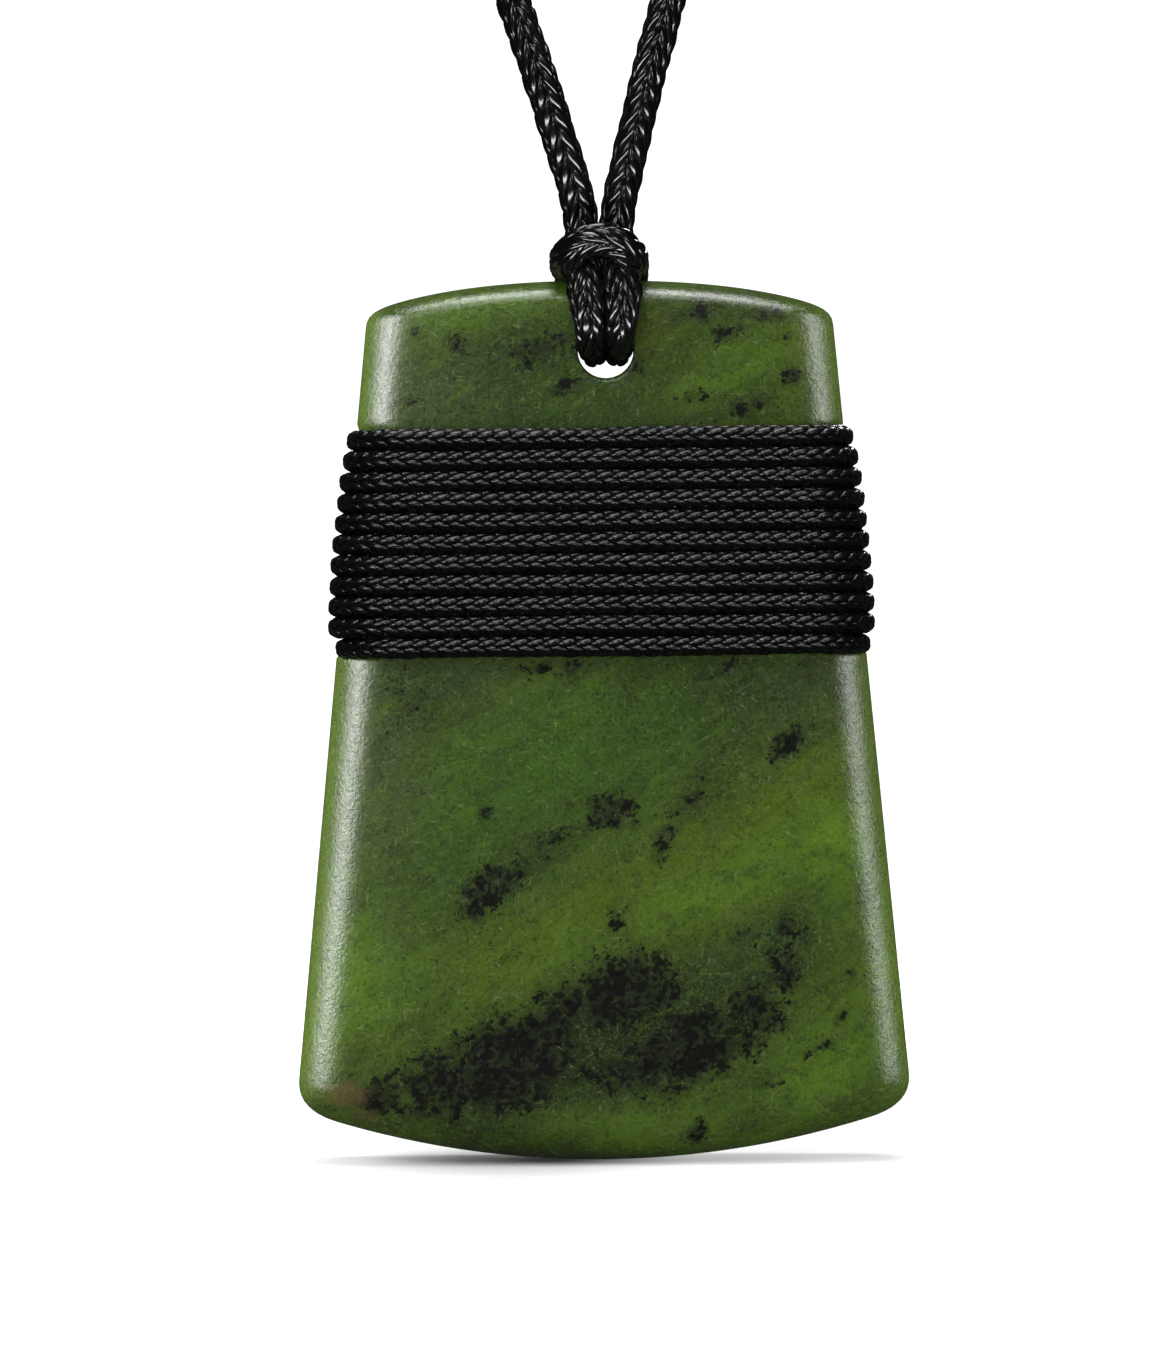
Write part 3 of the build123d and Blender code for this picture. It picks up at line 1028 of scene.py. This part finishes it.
neck, neck_marks = neck_line()
leg_marks = len(NECK_ROUTE)
hitch_start = neck_marks[leg_marks] - HITCH_MARGIN
hitch_end = neck.length - (neck_marks[-1] - neck_marks[-1 - leg_marks]) + HITCH_MARGIN
left_half = len(neck.points) // 2
turn_at = neck.travel[left_half + int(np.argmin(neck.points[left_half:, 2]))]
for name, first, last, shape in (
    ("neck_cord_hitch", hitch_start, hitch_end, (TILE_LONG, TILE_WIDE)),
    ("neck_cord_right", 0, hitch_start, (PLAIN_LONG, PLAIN_WIDE)),
    ("neck_cord_left", hitch_end, neck.length, (PLAIN_LONG, PLAIN_WIDE)),
):
    stretch = braid(
        name, neck, first, last, thick_look, pitch=1.16,
        stitch=(1.18, 1.14, 0.235, radians(38)), shape=shape, turn_at=turn_at,
    )
    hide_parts("neck_cord")
    CORDS.append(stretch)


def build_knot():
    """A plain barrel knot of seven snug turns on the two ends of the neck cord."""
    turns = 7
    long = 11.0
    sides = 40
    groove_radius = 1.95
    turn_height = 0.72
    stations = np.linspace(-long / 2, long / 2, 120)
    share = (stations / long + 0.5) * turns
    bulge = np.abs(np.sin(pi * share)) ** 0.6
    ends = np.sqrt(np.clip(1 - (np.abs(stations) / (long / 2)) ** 12, 0, 1))
    radius = (groove_radius + turn_height * bulge) * (0.45 + 0.55 * ends)
    around = np.arange(sides) * 2 * pi / sides
    points = []
    for x, size in zip(stations, radius):
        for angle in around:
            points.append((x, size * cos(angle), size * sin(angle)))
    numbers = np.arange(len(points)).reshape(-1, sides)
    faces = []
    for first, second in zip(numbers, numbers[1:]):
        faces.extend(ring_faces(first, second))
    faces.append(tuple(numbers[0][::-1]))
    faces.append(tuple(numbers[-1]))
    knot = new_piece("closing_barrel", points, faces, thick_look)
    set_grain(knot, np.array([(0, 12 * angle, 9 * x) for x in stations for angle in around]))
    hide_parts("closing_knot")


build_knot()

# Stage

# The floor's slope under the stone, how far it falls off in front and rises behind, where the
# curve to the wall starts and its radius, and how far the sheet reaches, in metres
FLOOR_SLOPE = 0.0875
FALL_REACH = 0.06
RISE_REACH = 0.02
FLOOR_GAP = 0.00003
CURVE_START = 4.5
CURVE_RADIUS = 3.0
SHEET_REACH = 15.0
WORLD_STRENGTH = 0.03


def stage_material(name, colour, near_glow, far_glow):
    """A white sheet that glows more the further it lies from the stone's foot: painted light, left out
    at the foot as a painted dark contact shade, that lifts the cast shadow around it and keeps the far
    sheet white.
    """
    material, tree, shader = node_tree(name)
    shader.inputs["Base Color"].default_value = (*colour, 1)
    shader.inputs["Roughness"].default_value = 0.8
    shader.inputs["Specular IOR Level"].default_value = 0.1
    shader.inputs["Emission Color"].default_value = (1, 1, 1, 1)
    place = add_node(tree, "ShaderNodeTexCoord").outputs["Object"]
    away = places(tree, "SUBTRACT", {0: place, 1: (0, STONE_Y * MM, STONE_FOOT * MM)})
    distance = add_node(tree, "ShaderNodeVectorMath", {0: away}, operation="LENGTH").outputs["Value"]
    # Painted light and shade: no glow right at the foot deepens the contact shadow, and the near glow
    # lightens the cast shadow beyond about a centimetre.
    glow = plus(
        tree,
        between(tree, distance, 0.002, 0.012, 0.0, near_glow),
        between(tree, distance, 0.03, 0.20, 0.0, far_glow),
    )
    tree.links.new(glow, shader.inputs["Emission Strength"])
    return material


def build_sheet(name, profile, look):
    """A wide white sheet along a profile of places behind the stone and heights over its foot."""
    points, faces = [], []
    for y, z in profile:
        for x in (-SHEET_REACH, SHEET_REACH):
            points.append((x, y, STONE_FOOT * MM - FLOOR_GAP + z))
    for row in range(len(profile) - 1):
        first = 2 * row
        faces.append((first, first + 1, first + 3, first + 2))
    mesh = bpy.data.meshes.new(name)
    mesh.from_pydata(points, [], faces)
    mesh.polygons.foreach_set("use_smooth", [True] * len(mesh.polygons))
    mesh.materials.append(look)
    sheet = bpy.data.objects.new(name, mesh)
    bpy.context.scene.collection.objects.link(sheet)
    return sheet


def build_stage():
    """A white floor that rises a little under the stone and curves up far behind it."""
    look = stage_material("white_sheet", (0.47, 0.47, 0.47), 0.41, 0.65)
    middle = STONE_Y * MM
    profile = [(-SHEET_REACH, -FLOOR_SLOPE * FALL_REACH)]
    for share in np.linspace(-4, 4, 41):
        reach = RISE_REACH if share > 0 else FALL_REACH
        profile.append((middle + share * reach, FLOOR_SLOPE * reach * np.tanh(share)))
    top = profile[-1][1]
    for turn in np.linspace(0, pi / 2, 17):
        along = CURVE_START + CURVE_RADIUS * sin(turn)
        profile.append((along, top + CURVE_RADIUS * (1 - cos(turn))))
    profile.append((CURVE_START + CURVE_RADIUS, SHEET_REACH))
    sweep = build_sheet("sweep", profile, look)
    sweep.visible_glossy = False


build_stage()

scene = bpy.context.scene
scene.view_settings.view_transform = "Standard"
world = bpy.data.worlds.new("studio")
world.use_nodes = True
background = world.node_tree.nodes["Background"]
background.inputs["Color"].default_value = (1, 1, 1, 1)
in_view = add_node(world.node_tree, "ShaderNodeLightPath").outputs["Is Camera Ray"]
strength = plus(world.node_tree, in_view, WORLD_STRENGTH)
world.node_tree.links.new(strength, background.inputs["Strength"])
scene.world = world

STONE_MIDDLE = Vector((STONE_X * MM, STONE_Y * MM, (STONE_FOOT + STONE_LENGTH / 2) * MM))


def cord_group(name, cords, link_state):
    """Cords as the things that a light reaches or leaves out."""
    group = bpy.data.collections.new(name)
    for cord in cords:
        group.objects.link(cord)
    for member in group.collection_objects:
        member.light_linking.link_state = link_state
    return group


CORDS_ALONE = cord_group("cords_alone", CORDS, "INCLUDE")
HITCH_ALONE = cord_group("hitch_alone", [bpy.data.objects["neck_cord_hitch"]], "INCLUDE")
ALL_BUT_CORDS = cord_group("all_but_cords", CORDS, "EXCLUDE")


def softbox(name, offset, size, power, reached=None):
    """An area light that faces the stone's middle."""
    light = bpy.data.lights.new(name, "AREA")
    light.shape = "RECTANGLE"
    light.size, light.size_y = size
    light.energy = power
    lamp = bpy.data.objects.new(name, light)
    lamp.location = STONE_MIDDLE + Vector(offset)
    lamp.rotation_euler = (STONE_MIDDLE - lamp.location).to_track_quat("-Z", "Y").to_euler()
    scene.collection.objects.link(lamp)
    if reached:
        lamp.light_linking.receiver_collection = reached
    return lamp


softbox("left_box", (-0.445, -0.125, 0.16), (0.14, 0.36), 2.4, ALL_BUT_CORDS)
softbox("left_veil", (-0.46, -0.12, 0.16), (0.48, 0.48), 2.0, ALL_BUT_CORDS)
softbox("right_box", (0.46, -0.05, 0.14), (0.16, 0.36), 1.5, ALL_BUT_CORDS)
softbox("left_fill", (-0.28, -0.42, 0.18), (0.16, 0.34), 0.20)
softbox("right_fill", (0.48, -0.50, 0.28), (0.40, 0.40), 0.2)
softbox("key_box", (-0.06, -0.44, 0.42), (0.10, 0.08), 0.8)
softbox("overhead_box", (0.0, -0.08, 0.45), (0.30, 0.26), 1.5)
softbox("rim_strip", (0.0, 0.08, 0.42), (0.25, 0.10), 1.3)
softbox("left_spark", (-0.30, -0.40, 0.22), (0.17, 0.12), 0.9, CORDS_ALONE)
softbox("right_spark", (0.28, -0.42, 0.26), (0.10, 0.08), 0.5, CORDS_ALONE)
softbox("front_spark", (0.05, -0.60, 0.06), (0.05, 0.04), 0.35, CORDS_ALONE)
low_strip = softbox("low_strip", (0.0, -0.06, -0.012), (0.10, 0.016), 0.16, HITCH_ALONE)
low_strip.visible_camera = False
softbox("back_spark", (0.12, 0.42, 0.30), (0.14, 0.10), 0.9, CORDS_ALONE)

# Camera, level with the stone and square to its front
PIXELS_PER_MM = 17.58
FRAME_TALL = 1353 / PIXELS_PER_MM * MM
CAMERA_AWAY = 0.70
CAMERA_X = 4.45
CAMERA_UP = -273.53
CAMERA_LEAN = 0.358
SENSOR = 36.0
camera_data = bpy.data.cameras.new("camera")
camera_data.sensor_width = SENSOR
camera_data.lens = SENSOR * CAMERA_AWAY / FRAME_TALL
camera_data.clip_start = 0.01
camera_data.clip_end = 20
camera = bpy.data.objects.new("camera", camera_data)
camera.location = Vector((CAMERA_X * MM, STONE_Y * MM - CAMERA_AWAY, CAMERA_UP * MM))
camera.rotation_mode = "XYZ"
camera.rotation_euler = Euler((radians(90), radians(CAMERA_LEAN), 0), "XYZ")
scene.collection.objects.link(camera)
scene.camera = camera
